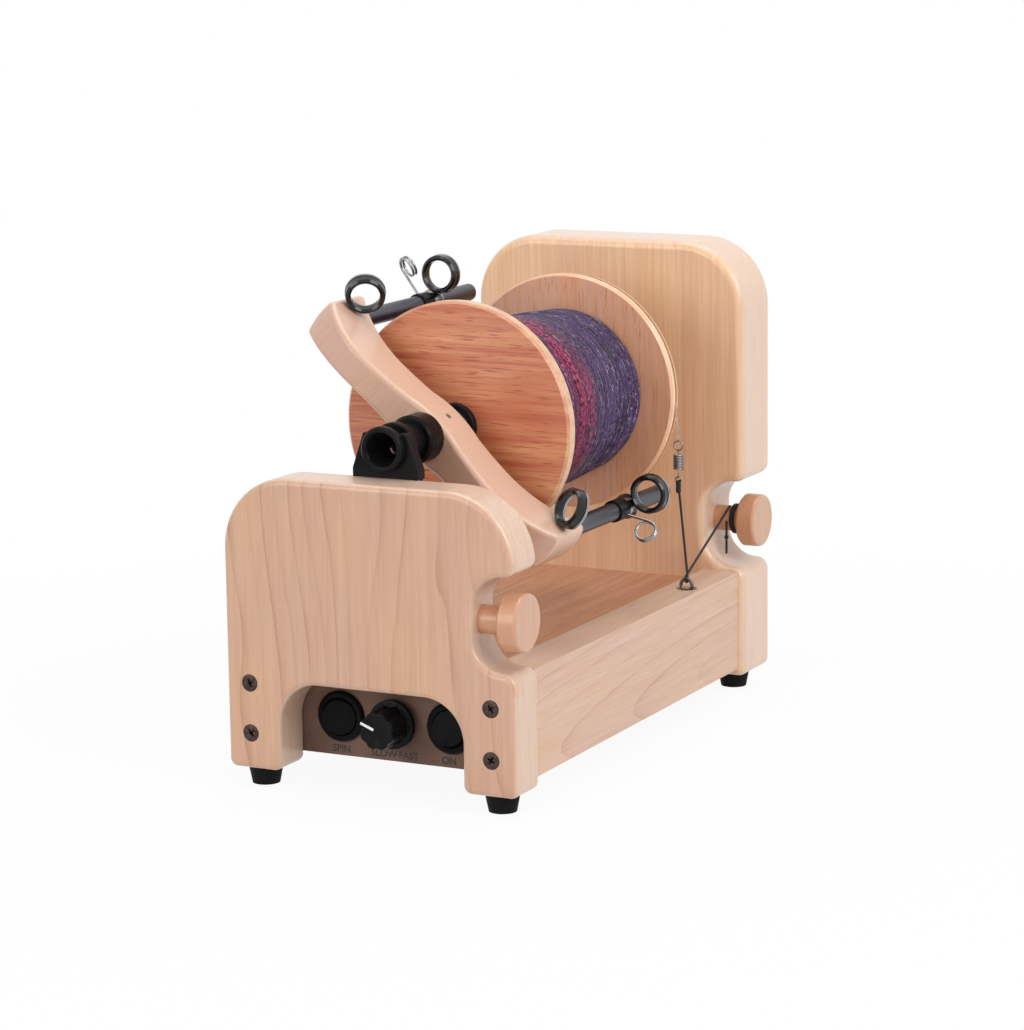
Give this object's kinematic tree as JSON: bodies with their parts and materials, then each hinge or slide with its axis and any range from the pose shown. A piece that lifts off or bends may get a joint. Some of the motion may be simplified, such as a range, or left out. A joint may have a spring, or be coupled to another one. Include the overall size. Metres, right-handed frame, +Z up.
{
  "type": "electric yarn spinner",
  "caption": "Motor-driven tabletop yarn spinner: wooden uprights joined by a deck carry a bow-shaped flyer with ring guides and a flanged bobbin, with speed and switch controls under an arch.",
  "frame": {"origin": "middle of the box that holds the machine, on the table under the rubber feet", "axes": "+X to the machine's right, the side with the tension knobs; +Y from the orifice to the rear panel; +Z up"},
  "size_m": [0.1534, 0.2964, 0.2325],
  "materials": {
    "maple": "clear satin lacquer",
    "deck_wood": "clear satin lacquer",
    "flyer_wood": "clear satin lacquer",
    "bobbin_wood": "clear satin lacquer",
    "knob_wood": "clear satin lacquer",
    "panel_plate": "matt brown laminate",
    "cover_board": "matt black",
    "black_plastic": "satin black",
    "gloss_black": "gloss black",
    "rubber": "matt",
    "bright_steel": "polished",
    "steel": "turned",
    "dark_rod": "dark grey satin",
    "black_screw": "black oxide",
    "circuit": "green board",
    "yarn": "handspun wool, blue violet with magenta",
    "cord": "black braided cord",
    "nylon": "clear line"
  },
  "bodies": {
    "stand": {"front_panel": "maple", "rear_panel": "maple", "rear_cover": "cover_board", "rail_left": "maple", "rail_right": "maple", "deck_board": "deck_wood", "base_plate": "deck_wood", "control_panel": "panel_plate", "rail_screws": "black_screw", "cover_screws": "black_screw", "bracket_screws": "black_screw", "rubber_feet": "rubber", "foot_screws": "steel", "bearing_bracket": "black_plastic", "direction_switch": "black_plastic", "power_switch": "black_plastic", "speed_dial": "black_plastic", "rear_bearings": "steel", "motor": "steel", "motor_screws": "steel", "circuit_board": "circuit", "power_inlet": "black_plastic", "drive_belt": "rubber", "brake_line": "nylon", "brake_spring": "bright_steel", "brake_cord": "cord", "screw_eyes": "steel"},
    "flyer": {"orifice_tube": "black_plastic", "hub_collar": "black_plastic", "spindle": "steel", "spindle_grub_screw": "black_screw", "flyer_rods": "dark_rod", "flyer_bar": "flyer_wood", "fixed_guide_rings": "gloss_black", "fixed_guide_frames": "bright_steel", "drive_hub": "black_plastic", "drive_shaft": "steel", "drive_pulley": "black_plastic"},
    "bobbin": {"bobbin_front_flange": "bobbin_wood", "bobbin_rear_flange": "bobbin_wood", "bobbin_core": "bobbin_wood", "bobbin_bushes": "black_plastic", "yarn_winding": "yarn"},
    "upper_guide": {"upper_slider_sleeve": "black_plastic", "upper_slider_ring": "gloss_black", "upper_slider_frame": "bright_steel", "upper_slider_pigtail": "bright_steel"},
    "lower_guide": {"lower_slider_sleeve": "black_plastic", "lower_slider_ring": "gloss_black", "lower_slider_frame": "bright_steel", "lower_slider_pigtail": "bright_steel"},
    "motor_rotor": {"motor_shaft": "steel", "motor_pulley": "black_plastic"},
    "front_knob": {"front_tension_knob": "knob_wood"},
    "rear_knob": {"rear_tension_knob": "knob_wood", "cord_wraps": "cord"},
    "speed_control": {"speed_knob": "gloss_black", "speed_dial_shaft": "steel"},
    "direction_rocker": {"direction_rocker": "gloss_black"},
    "power_rocker": {"power_rocker": "gloss_black"}
  },
  "joints": [
    {"name": "flyer_spin", "type": "hinge", "parent": "stand", "child": "flyer", "pos_m": [-0.00165, 0, 0.1604], "axis": [0, 1, 0], "continuous": true},
    {"name": "bobbin_spin", "type": "hinge", "parent": "flyer", "child": "bobbin", "pos_m": [-0.00165, 0, 0.1604], "axis": [0, 1, 0], "continuous": true},
    {"name": "motor_spin", "type": "hinge", "parent": "stand", "child": "motor_rotor", "pos_m": [-0.00165, 0, 0.033], "axis": [0, 1, 0], "continuous": true},
    {"name": "upper_guide_slide", "type": "slide", "parent": "flyer", "child": "upper_guide", "axis": [0, 1, 0], "range_m": [-0.05, 0.037]},
    {"name": "lower_guide_slide", "type": "slide", "parent": "flyer", "child": "lower_guide", "axis": [0, 1, 0], "range_m": [-0.046, 0.041]},
    {"name": "front_knob_turn", "type": "hinge", "parent": "stand", "child": "front_knob", "pos_m": [0.05135, -0.1348, 0.0879], "axis": [1, 0, 0], "continuous": true},
    {"name": "rear_knob_turn", "type": "hinge", "parent": "stand", "child": "rear_knob", "pos_m": [0.05135, 0.1302, 0.0879], "axis": [1, 0, 0], "continuous": true},
    {"name": "speed_knob_turn", "type": "hinge", "parent": "stand", "child": "speed_control", "pos_m": [-0.00015, -0.1268, 0.0322], "axis": [0, 1, 0], "range_deg": [-80, 220]},
    {"name": "direction_rocker_tilt", "type": "hinge", "parent": "stand", "child": "direction_rocker", "pos_m": [-0.02915, -0.123, 0.0322], "axis": [0, 0, 1], "range_deg": [-16, 0]},
    {"name": "power_rocker_tilt", "type": "hinge", "parent": "stand", "child": "power_rocker", "pos_m": [0.02835, -0.123, 0.0322], "axis": [1, 0, 0], "range_deg": [0, 16]}
  ],
  "couplings": [
    {"joint": "motor_spin", "follows": "flyer_spin", "ratio": 3.9834}
  ]
}
